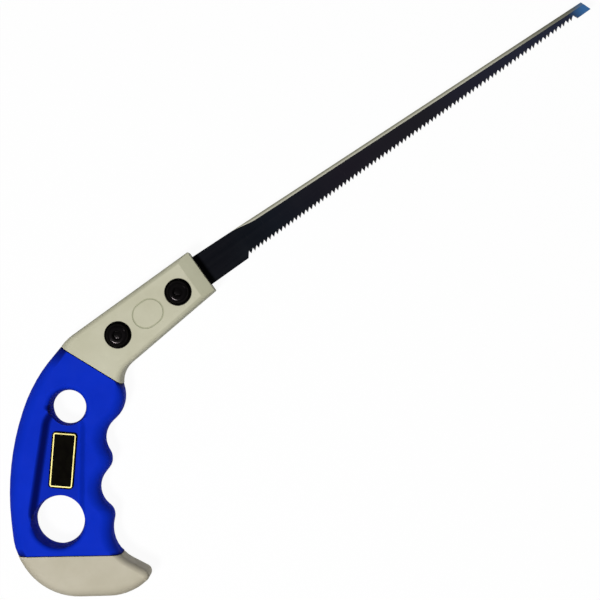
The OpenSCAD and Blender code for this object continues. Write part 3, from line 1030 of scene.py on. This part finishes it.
@dataclass
class Handle(Piece):
    """Moulded head, inner spine and pommel: one hard piece."""

    seams: Sequence[Seam] = ()
    seam_round: float = 0.3
    seam_clear: float = 0.33
    end_round: float = 0.25
    slot_half: float = 2.0
    band_x: float = -45.17
    band_angle: float = 8.0
    band_round: float = 0.3
    # Painted shade on the sloped band at the end of the head
    band_shade: float = 0.3
    oval_at: Pair = (-71.17, 46.48)
    oval_reach: float = 9.0
    oval_round: float = 0.18
    oval_below: float = 0.45
    # Painted shade in the engraved oval line, down to oval_below millimetres
    oval_shade: float = 0.6
    pommel_from: float = 0.2
    # Painted shade on the pommel's rounded edges, full at pommel_fall millimetres below its faces; edges
    # whose normal leans along upward are left out
    pommel_edge_shade: float = 0.6
    pommel_shade_from: float = -0.5
    pommel_fall: float = 4.0
    upward: Pair = (0.643, 0.766)
    upward_least: float = 0.1

    def across(self, edge: Edge, x: float) -> bool:
        """Returns whether an edge lies across the head, at a place along X in millimetres."""
        return all(abs(v.co.x / MM - x) < TOUCH for v in edge.verts)

    def on_oval(self, edge: Edge, top: float) -> bool:
        """Tells whether an edge is a rim of the engraved oval line.

        Args:
            edge: The edge.
            top: Height of the handle's top face.

        Returns:
            Whether both its ends lie on the top face, near the oval.
        """
        middle = Vector((self.oval_at[0] * MM, self.oval_at[1] * MM, top))
        near = all((v.co - middle).length < self.oval_reach * MM for v in edge.verts)
        return near and at_height(edge, top)

    def clear_seam(self, bm: Mesh, seam: Seam) -> None:
        """Draws corners that lie within a seam's rounding into the seam, so that no face folds.

        Args:
            bm: The handle.
            seam: The seam.
        """
        merged = {}
        for vert in bm.verts:
            if SKIN < abs(seam.off(vert.co)) < self.seam_clear:
                short = [e for e in vert.link_edges if e.calc_length() < self.seam_round * MM]
                ends = [e.other_vert(vert) for e in short]
                ends = [v for v in ends if abs(seam.off(v.co)) < SKIN]
                if ends:
                    merged[vert] = ends[0]
        bmesh.ops.weld_verts(bm, targetmap=merged)

    def shape(self) -> Mesh:
        """Softens the seams, the end of the head and the oval line.

        Returns:
            The merged handle.
        """
        bm = merged_copy(self.node)
        low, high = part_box(self.node)
        middle = (low.z + high.z) / 2
        for seam in self.seams:
            self.clear_seam(bm, seam)
        seams = [e for e in rims(bm) if any(s.holds(e) for s in self.seams)]
        soften(bm, seams, self.seam_round * MM)
        ends = [e for e in rims(bm) if self.across(e, HEAD_END)]
        outer = [e for e in ends if max(abs(v.co.z - middle) for v in e.verts) > self.slot_half * MM]
        soften(bm, outer, self.end_round * MM)
        bands = [e for e in bm.edges if self.across(e, self.band_x) and dihedral(e) > self.band_angle]
        soften(bm, bands, self.band_round * MM)
        oval = [e for e in rims(bm) if self.on_oval(e, high.z)]
        soften(bm, oval, self.oval_round * MM)
        self.painted_shade(bm, high.z)
        self.pommel_tint_and_shade(bm)
        return bm

    def painted_shade(self, bm: Mesh, top: float) -> None:
        """Paints shade on the sloped band and in the oval line.

        Args:
            bm: The handle.
            top: Height of its top face.
        """
        layer = bm.verts.layers.float.new(PAINTED_SHADE)
        middle = Vector(self.oval_at) * MM
        for vert in bm.verts:
            depth = top - vert.co.z
            # Painted shade on the sloped band
            if vert.co.x > (self.band_x + 0.5 * self.band_round) * MM:
                vert[layer] = self.band_shade
            # Painted shade in the oval line
            elif SKIN * MM < depth < self.oval_below * MM:
                if (vert.co.xy - middle).length < self.oval_reach * MM:
                    vert[layer] = self.oval_shade

    def pommel_tint_and_shade(self, bm: Mesh) -> None:
        """Gives the pommel its second finish, warmer and darker than the head, and paints shade on its
        rounded edge.

        Args:
            bm: The handle, with its painted shade layer.
        """
        bm.normal_update()
        layer = bm.verts.layers.float[PAINTED_SHADE]
        seam = self.seams[-1]
        for face in bm.faces:
            if seam.off(face.calc_center_median()) < self.pommel_from:
                face.material_index = 1
        # Painted shade on the pommel's rounded edges
        verts = [v for v in bm.verts if seam.off(v.co) < self.pommel_shade_from]
        top, bottom = max(v.co.z for v in verts), min(v.co.z for v in verts)
        for vert in verts:
            depth = min(top - vert.co.z, vert.co.z - bottom) / MM
            if depth > SKIN and vert.normal.xy.dot(Vector(self.upward)) < self.upward_least:
                vert[layer] = self.pommel_edge_shade * min(1.0, depth / self.pommel_fall)


@dataclass
class Grip(Piece):
    """Soft moulded sleeve round the spine, with finger grooves, two holes and a recess."""

    seams: Sequence[Seam] = ()
    seam_round: float = 0.5
    seam_slot: float = 0.32
    seam_strip: float = 0.984
    seam_margin: float = 1.0
    # Painted shade in the seam's slot, over seam_shade_w millimetres beside each seam
    seam_shade: float = 1.0
    seam_shade_w: float = 0.77
    seam_lip: float = 0.05
    rim_round: float = 2.0
    rim_steps: int = 4
    low_hole: Pair = (-165.938, -10.769)
    high_hole: Pair = (-130.07, 31.977)
    recess_reach: float = 15.0
    recess_depth: float = 4.4
    # Painted shade down the recess's palm-side wall, fading at rim and foot
    wall_shade: float = 0.95
    wall_rise: float = 2.6
    wall_fall: float = 2.4
    wall_foot: float = 1.1
    wall_edge: float = 0.01
    # Fainter painted shade on the recess floor
    floor_shade: float = 0.22

    def open_seam(self, bm: Mesh, seam: Seam, centre: Vector) -> None:
        """Draws the sleeve's end back from a seam, so that a narrow slot shows.

        Args:
            bm: The sleeve.
            seam: The seam.
            centre: A point well inside the sleeve.
        """
        side = math.copysign(1.0, seam.off(centre))
        near = [v for v in bm.verts if seam.reach < side * seam.off(v.co) < self.seam_strip]
        linked = {v: [e.other_vert(v) for e in v.link_edges] for v in near}
        far = {v: max(linked[v], key=lambda w: side * seam.off(w.co)) for v in near}
        bmesh.ops.weld_verts(bm, targetmap={v: w for v, w in far.items() if w not in far})
        wall = [v for v in bm.verts if abs(seam.off(v.co)) < seam.reach]
        bmesh.ops.translate(bm, verts=wall, vec=seam.normal() * side * self.seam_slot * MM)

    def in_recess(self, place: Vector) -> float:
        """Tells on which side of the recess a place lies.

        Args:
            place: The place.

        Returns:
            -1 on the side of the palm, 1 on that of the fingers, and 0 outside the recess.
        """
        start = Vector(self.low_hole) * MM
        along = Vector(self.high_hole) * MM - start
        reach = place.xy - start
        share = reach.dot(along) / along.length_squared
        across = reach - share * along
        if not 0.0 < share < 1.0 or across.length > self.recess_reach * MM:
            return 0.0
        return math.copysign(1.0, across.x * along.y - across.y * along.x)

    def shape(self) -> Mesh:
        """Opens the seams, and softens them and the rims of both faces.

        Returns:
            The merged sleeve.
        """
        bm = merged_copy(self.node)
        low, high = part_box(self.node)
        for seam in self.seams:
            self.open_seam(bm, seam, (low + high) / 2)
        seams = [e for e in rims(bm) if any(s.holds(e) for s in self.seams)]
        soften(bm, seams, self.seam_round * MM)
        faces = [e for e in rims(bm) if at_height(e, low.z) or at_height(e, high.z)]
        clear = [e for e in faces if self.seam_gap(e.verts[0].co) >= self.seam_margin]
        soften(bm, clear, self.rim_round * MM, self.rim_steps)
        self.painted_shade(bm, low, high)
        return bm

    def seam_gap(self, place: Vector) -> float:
        """Returns the distance of a place from the nearest seam, in millimetres."""
        return min(abs(seam.off(place)) for seam in self.seams)

    def painted_shade(self, bm: Mesh, low: Vector, high: Vector) -> None:
        """Paints shade along the seams, and on the recess's palm-side wall and floor.

        Args:
            bm: The sleeve.
            low: Lower corner of its box.
            high: Upper corner of its box.
        """
        layer = bm.verts.layers.float.new(PAINTED_SHADE)
        edge = self.wall_edge
        for vert in bm.verts:
            near = self.seam_gap(vert.co)
            sunk = min(high.z - vert.co.z, vert.co.z - low.z) / MM
            share = sunk / self.recess_depth
            # Painted shade in the seam's slot
            if near < self.seam_shade_w and sunk > self.seam_lip:
                vert[layer] = self.seam_shade
            # Painted shade down the recess's palm-side wall
            elif edge < share < 1 - edge and self.in_recess(vert.co) < 0.0:
                down = math.acos(1 - 2 * share) / math.pi
                fade = min(1.0, self.wall_rise * down, self.wall_fall * (self.wall_foot - down))
                vert[layer] = self.wall_shade * fade
            # Fainter painted shade on the recess floor
            elif 1 - edge < share < 1 + edge and self.in_recess(vert.co):
                vert[layer] = self.floor_shade


@dataclass
class Blade(Piece):
    """Thin steel blade with a ground back and teeth set to both sides."""

    slope: float = 0.0
    offset: float = 0.0
    bevel_w: float = 2.4
    teeth_from: float = -16.0
    flank_lean: float = 0.93
    crease: float = 3.0

    def shape(self) -> Mesh:
        """Sorts out the ground flanks of the teeth.

        Returns:
            The merged blade.
        """
        bm = merged_copy(self.node)
        for face in bm.faces:
            middle = face.calc_center_median()
            inside = self.slope * middle.x + self.offset - middle.y
            toothed = inside > self.bevel_w * MM and middle.x > self.teeth_from * MM
            if toothed and abs(face.normal.z) < self.flank_lean:
                face.material_index = 1
        return bm


@dataclass
class Plate(Piece):
    """Thin bare plate with a raised gilt border."""

    border_h: float = 0.15

    def shape(self) -> Mesh:
        """Sorts out the border.

        Returns:
            The merged plate.
        """
        bm = merged_copy(self.node)
        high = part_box(self.node)[1].z
        for face in bm.faces:
            heights = [v.co.z for v in face.verts]
            if min(heights) > high - (self.border_h + SKIN) * MM and max(heights) > high - SKIN * MM:
                face.material_index = 1
        return bm


@dataclass
class Nut(Piece):
    """Hexagon nut, let into the underside of the head."""

    edge_round: float = 0.15
    edge_angle: float = 50.0

    def shape(self) -> Mesh:
        """Breaks the edges.

        Returns:
            The merged nut.
        """
        bm = merged_copy(self.node)
        soften(bm, rims(bm, self.edge_angle), self.edge_round * MM)
        return bm


@dataclass
class ClampBolt(Piece):
    """Button-head bolt with a hexagon socket and a cut thread."""

    crease: float = 28.0
    steps: int = 60
    head_h: float = 3.2
    rim_h: float = 0.55
    rim_in: float = 0.25
    rim_lip: float = 0.05
    rim_lift: float = 0.12
    crown_r: float = 3.65
    dome_step: int = 9
    mouth_r: float = 2.55
    mouth_lip: float = 0.1
    mouth_drop: float = 0.08
    socket_af: float = 4.0
    socket_top: float = 0.35
    socket_depth: float = 2.0
    socket_point: float = 0.3
    shank_r: float = 2.95
    fillet: float = 0.3
    thread_r: float = 2.97
    root_r: float = 2.5
    thread_len: float = 15.0
    thread_steps: int = 32
    pitch: float = 1.0
    # Start and end of the flanks and of the crest on one turn, as shares of the pitch
    flank_span: Pair = (0.08, 0.92)
    crest_span: Pair = (0.44, 0.56)
    # Turns that the winding starts below the bolt's end, and turns in all beyond the thread's length
    turns_below: float = 1.5
    turns_more: int = 3

    def head(self, centre: Vector, top: float, radius: float, joint: float) -> Mesh:
        """Turns the head and the plain shank, open at the socket and at the thread.

        Args:
            centre: The bolt's axis.
            top: Height of the crown.
            radius: Outer radius of the head.
            joint: Height where the plain shank meets the thread.

        Returns:
            The open turned mesh.
        """
        under = top - self.head_h * MM
        rim = self.rim_h * MM
        crown, shank, mouth = self.crown_r * MM, self.shank_r * MM, self.mouth_r * MM
        dome = [math.radians(t) for t in range(0, 91, self.dome_step)]
        profile = [
            (shank, joint),
            (shank, under - self.fillet * MM),
            (shank + self.fillet * MM, under),
            (radius - self.rim_in * MM, under),
            (radius - self.rim_lip * MM, under + self.rim_lift * MM),
        ]
        profile += [
            (crown + (radius - crown) * math.cos(t), under + rim + (top - under - rim) * math.sin(t))
            for t in dome
        ]
        profile += [(mouth + self.mouth_lip * MM, top), (mouth, top - self.mouth_drop * MM)]
        return turned(profile, centre, self.steps)

    def socket(self, bm: Mesh, centre: Vector, top: float) -> None:
        """Sinks the hexagon socket into the crown.

        Args:
            bm: The turned head.
            centre: The bolt's axis.
            top: Height of the crown.
        """
        mouth = border(bm, top - self.mouth_drop * MM)
        start = top - self.socket_top * MM
        ring = bmesh.ops.create_circle(
            bm,
            cap_ends=False,
            radius=self.socket_af / 2 / math.cos(math.pi / HEX_SIDES) * MM,
            segments=HEX_SIDES,
            matrix=Matrix.Translation((centre.x, centre.y, start)),
        )
        sides = list({e for v in ring["verts"] for e in v.link_edges})
        bmesh.ops.subdivide_edges(bm, edges=sides, cuts=self.steps // HEX_SIDES - 1)
        hexagon = border(bm, start)
        bmesh.ops.bridge_loops(bm, edges=mouth + hexagon)
        sunk = bmesh.ops.extrude_edge_only(bm, edges=hexagon)["geom"]
        walls = [g for g in sunk if isinstance(g, bmesh.types.BMVert)]
        bmesh.ops.translate(bm, verts=walls, vec=(0, 0, (self.socket_top - self.socket_depth) * MM))
        floor = bmesh.ops.contextual_create(bm, geom=border(bm, top - self.socket_depth * MM))["faces"]
        bmesh.ops.poke(bm, faces=floor, offset=-self.socket_point * MM)

    def thread(self, centre: Vector, low: float, joint: float) -> Mesh:
        """Winds the thread and trims it to its length.

        Args:
            centre: The bolt's axis.
            low: Height of the bolt's end.
            joint: Height where the plain shank meets the thread.

        Returns:
            The thread, open at both ends.
        """
        bm = bmesh.new()
        pitch = self.pitch * MM
        turns = int(self.thread_len / self.pitch) + self.turns_more
        start = low - self.turns_below * pitch
        crest, root = self.thread_r * MM, self.root_r * MM
        (rise, fall), (first, last) = self.flank_span, self.crest_span
        shares = [(root, 0.0), (root, rise), (crest, first), (crest, last), (root, fall), (root, 1.0)]
        bmesh.ops.spin(
            bm,
            geom=wire(bm, [(r, start + share * pitch) for r, share in shares], centre),
            cent=centre,
            axis=(0, 0, 1),
            dvec=(0, 0, pitch / self.thread_steps),
            angle=2 * math.pi * turns,
            steps=self.thread_steps * turns,
            use_merge=False,
            use_duplicate=False,
        )
        bmesh.ops.remove_doubles(bm, verts=bm.verts[:], dist=MERGE_GAP)
        for height, upper in ((low, False), (joint, True)):
            bmesh.ops.bisect_plane(
                bm,
                geom=bm.verts[:] + bm.edges[:] + bm.faces[:],
                plane_co=(0, 0, height),
                plane_no=(0, 0, 1),
                clear_outer=upper,
                clear_inner=not upper,
            )
        return bm

    def shape(self) -> Mesh:
        """Joins head and thread, and closes the bolt.

        Returns:
            The whole bolt.
        """
        low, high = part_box(self.node)
        centre = (low + high) / 2
        joint = low.z + self.thread_len * MM
        bm = self.head(centre, high.z, (high.x - low.x) / 2, joint)
        self.socket(bm, centre, high.z)
        thread = self.thread(centre, low.z, joint)
        part = bpy.data.meshes.new("thread")
        thread.to_mesh(part)
        thread.free()
        bm.from_mesh(part)
        bpy.data.meshes.remove(part)
        bmesh.ops.contextual_create(bm, geom=border(bm, low.z))
        bmesh.ops.triangle_fill(bm, edges=border(bm, joint), use_beauty=True, use_dissolve=False)
        bmesh.ops.recalc_face_normals(bm, faces=bm.faces[:])
        return bm


@dataclass
class Washer(Piece):
    """Plain washer under a bolt head, with rolled-over rims."""

    hole_r: float = 3.2
    rim: float = 0.25
    rim_step: int = 18
    lower_cut: float = 0.1
    hole_cut: float = 0.15
    steps: int = 64

    def shape(self) -> Mesh:
        """Turns the washer.

        Returns:
            The closed washer.
        """
        low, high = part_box(self.node)
        inner, outer = self.hole_r * MM, (high.x - low.x) / 2
        rim, under, mouth = self.rim * MM, self.lower_cut * MM, self.hole_cut * MM
        bend = [math.radians(t) for t in range(0, 91, self.rim_step)]
        start = (inner, low.z + under)
        profile = [start, (inner + under, low.z), (outer - under, low.z), (outer, low.z + under)]
        profile += [(outer - rim + rim * math.cos(t), high.z - rim + rim * math.sin(t)) for t in bend]
        profile += [(inner + mouth, high.z), (inner, high.z - mouth), start]
        bm = turned(profile, (low + high) / 2, self.steps)
        bmesh.ops.recalc_face_normals(bm, faces=bm.faces[:])
        return bm


@dataclass
class Studio:
    """Pale floor, soft light and the camera straight above the saw."""

    mid_height: float = 11.0
    distance: float = 800.0
    picture_width: float = 296.4
    aim: Pair = (-7.0, 8.797)
    turn: float = -35.5
    sensor_w: float = 36.0
    view_span: Pair = (0.01, 20.0)
    key_place: Triple = (-0.5, -0.1, 1.26)
    key_size: float = 0.22
    key_power: float = 15.7
    fill_place: Triple = (0.62, 0.12, 1.0)
    fill_size: float = 0.16
    fill_power: float = 1.1
    horizon: Colour = (0.05, 0.05, 0.052)
    zenith: Colour = (0.06, 0.06, 0.06)
    floor_half: float = 4.0
    floor_drop: float = 0.1
    floor_grey: float = 0.65
    floor_white: float = 0.95
    shadow_share: float = 0.05

    def camera(self) -> None:
        """Sets the camera that looks straight down at the middle of the thickness."""
        lens = bpy.data.cameras.new("camera")
        lens.sensor_width = self.sensor_w
        lens.lens = self.sensor_w * self.distance / self.picture_width
        lens.clip_start, lens.clip_end = self.view_span
        made = add_object("camera", lens)
        made.location = (self.aim[0] * MM, self.aim[1] * MM, (self.mid_height + self.distance) * MM)
        made.rotation_euler = (0.0, 0.0, math.radians(self.turn))
        bpy.context.scene.camera = made

    def lamp(self, name: str, place: Triple, size: float, power: float) -> None:
        """Adds one square soft lamp that faces the saw.

        Args:
            name: Name of the lamp.
            place: Where it hangs, in metres.
            size: Length of its sides in metres.
            power: Its power in watts.
        """
        light = bpy.data.lights.new(name, "AREA")
        light.shape = "SQUARE"
        light.size = size
        light.energy = power
        made = add_object(name, light)
        made.location = place
        made.rotation_euler = (-Vector(place)).to_track_quat("-Z", "Y").to_euler()

    def world(self) -> None:
        """Sets the dim sky, a little brighter overhead than at the horizon."""
        sky = bpy.data.worlds.new("studio")
        graph = fresh_graph(sky)
        way = graph.node("ShaderNodeTexCoord").outputs["Generated"]
        lift = graph.span(graph.axes(way)["Z"], 0.0, 1.0)
        level = graph.ramp(lift, ((0.0, self.horizon), (1.0, self.zenith)))
        back = graph.fill(graph.node("ShaderNodeBackground"), Color=level)
        graph.fill(graph.node("ShaderNodeOutputWorld"), Surface=back.outputs[0])
        bpy.context.scene.world = sky

    def paper(self) -> bpy.types.Material:
        """Draws the floor's material, which shows white and keeps a faint shadow.

        Returns:
            The material.
        """
        made = bpy.data.materials.new("paper")
        graph = fresh_graph(made)
        path = graph.node("ShaderNodeLightPath").outputs
        seen = graph.math("MAXIMUM", path["Is Camera Ray"], path["Is Glossy Ray"])
        seen = graph.math("MAXIMUM", seen, path["Is Transmission Ray"])
        grey = graph.node("ShaderNodeBsdfDiffuse")
        white = graph.node("ShaderNodeBsdfDiffuse")
        for shader, level in ((grey, self.floor_grey), (white, self.floor_white)):
            graph.fill(shader, Color=(level, level, level, 1.0))
        glow = graph.node("ShaderNodeEmission")
        shown = graph.blend(self.shadow_share, glow.outputs[0], white.outputs[0])
        both = graph.blend(seen, grey.outputs[0], shown)
        graph.fill(graph.node("ShaderNodeOutputMaterial"), Surface=both)
        return made

    def floor(self) -> None:
        """Lays the pale floor."""
        bm = bmesh.new()
        bmesh.ops.create_grid(bm, x_segments=1, y_segments=1, size=self.floor_half)
        bmesh.ops.translate(bm, verts=bm.verts[:], vec=(0, 0, -self.floor_drop * MM))
        made = add_mesh("floor", bm)
        made.data.materials.append(self.paper())

    def build(self) -> None:
        """Sets up floor, light, camera and the plain view transform."""
        self.floor()
        self.world()
        self.lamp("key", self.key_place, self.key_size, self.key_power)
        self.lamp("fill", self.fill_place, self.fill_size, self.fill_power)
        self.camera()
        bpy.context.scene.view_settings.view_transform = "Standard"
        LOG.info("studio: camera %.0f mm above the saw", self.distance)


IVORY = MouldedFinish(
    "ivory_plastic",
    light=(0.58, 0.565, 0.43),
    dark=(0.52, 0.505, 0.37),
    rubbed=(0.50, 0.485, 0.36),
    # Colour of the ivory in painted shade
    painted_shade_colour=(0.30, 0.315, 0.20),
    roughness=0.66,
    polish=0.1,
    specular=0.1,
)
# The pommel's copy of the ivory: a warmer tint, and darker as painted shade for the dimmer light on that
# end
POMMEL = replace(
    IVORY,
    name="pommel_plastic",
    light=(0.54, 0.5, 0.395),
    dark=(0.485, 0.447, 0.34),
    rubbed=(0.465, 0.43, 0.33),
    painted_shade_colour=(0.31, 0.275, 0.2),
)
BLUE = MouldedFinish(
    "blue_rubber",
    light=(0.004, 0.029, 0.55),
    dark=(0.003, 0.025, 0.49),
    rubbed=(0.006, 0.033, 0.52),
    # Colour of the blue in painted shade
    painted_shade_colour=(0.002, 0.006, 0.125),
    roughness=0.74,
    polish=0.12,
    specular=0.02,
    grain=2000.0,
)
# The washers' oxide is a darker copy of the bolts': the difference is painted shade, for flat washers
# that show less light than the domed heads
WASHER_OXIDE = BlackOxide(
    "black_washer", dark=(0.003, 0.0028, 0.0026), brown=(0.005, 0.0043, 0.004), worn=(0.008, 0.007, 0.007)
)
BOLT_OXIDE = BlackOxide(
    "black_bolt", dark=(0.01, 0.009, 0.0092), brown=(0.014, 0.012, 0.0125), worn=(0.02, 0.018, 0.019)
)
ZINC = BareSteel("zinc_steel", (0.62, 0.62, 0.63), (0.42, 0.42, 0.43), metallic=0.9, roughness=0.36)
TOOTH = BareSteel("ground_tooth", (0.1, 0.1, 0.105), (0.035, 0.035, 0.037), metallic=0.3, roughness=0.4)
FIELD = Enamel(
    "black_enamel", (0.005, 0.0045, 0.003), (0.003, 0.0025, 0.002), metallic=0.0, roughness=0.14
)
GILT = Enamel("gilt_border", (0.66, 0.58, 0.23), (0.54, 0.47, 0.17), metallic=0.2, roughness=0.4)
# Upper and lower end of the grip
SEAMS = (Seam((-113.04, 52.28), -67.0), Seam((-176.87, -23.79), -34.5))


def saw_pieces() -> list[Piece]:
    """Lists the pieces of the saw.

    Returns:
        Every piece, ready to build.
    """
    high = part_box("blade")[1]
    slope = -BACK_FALL / BACK_LENGTH
    offset = high.y - slope * HEAD_END * MM
    steel = BladeSteel("blade_coat", tip_x=high.x, slope=slope, offset=offset)
    return [
        Handle("handle", "handle_core", Body.HANDLE, Slot.IVORY, (IVORY, POMMEL), seams=SEAMS),
        Grip("grip", "grip_sleeve", Body.HANDLE, Slot.BLUE, (BLUE,), seams=SEAMS),
        Blade("saw_blade", "blade", Body.HANDLE, Slot.BLADE, (steel, TOOTH), slope=slope, offset=offset),
        Plate("small_plate", "name_plate", Body.HANDLE, Slot.PLATE, (FIELD, GILT)),
        Nut("front_nut", "nut_front", Body.HANDLE, Slot.NUT, (ZINC,)),
        Nut("rear_nut", "nut_rear", Body.HANDLE, Slot.NUT, (ZINC,)),
        Washer("front_washer", "washer_front", Body.WASHER_FRONT, Slot.FASTENER, (WASHER_OXIDE,)),
        Washer("rear_washer", "washer_rear", Body.WASHER_REAR, Slot.FASTENER, (WASHER_OXIDE,)),
        ClampBolt("front_bolt", "clamp_bolt_front", Body.BOLT_FRONT, Slot.FASTENER, (BOLT_OXIDE,)),
        ClampBolt("rear_bolt", "clamp_bolt_rear", Body.BOLT_REAR, Slot.FASTENER, (BOLT_OXIDE,)),
    ]


def main() -> None:
    logging.basicConfig(level=logging.INFO, format="%(name)s: %(message)s")
    for piece in saw_pieces():
        piece.build()
    Studio().build()


if __name__ == "__main__":
    main()
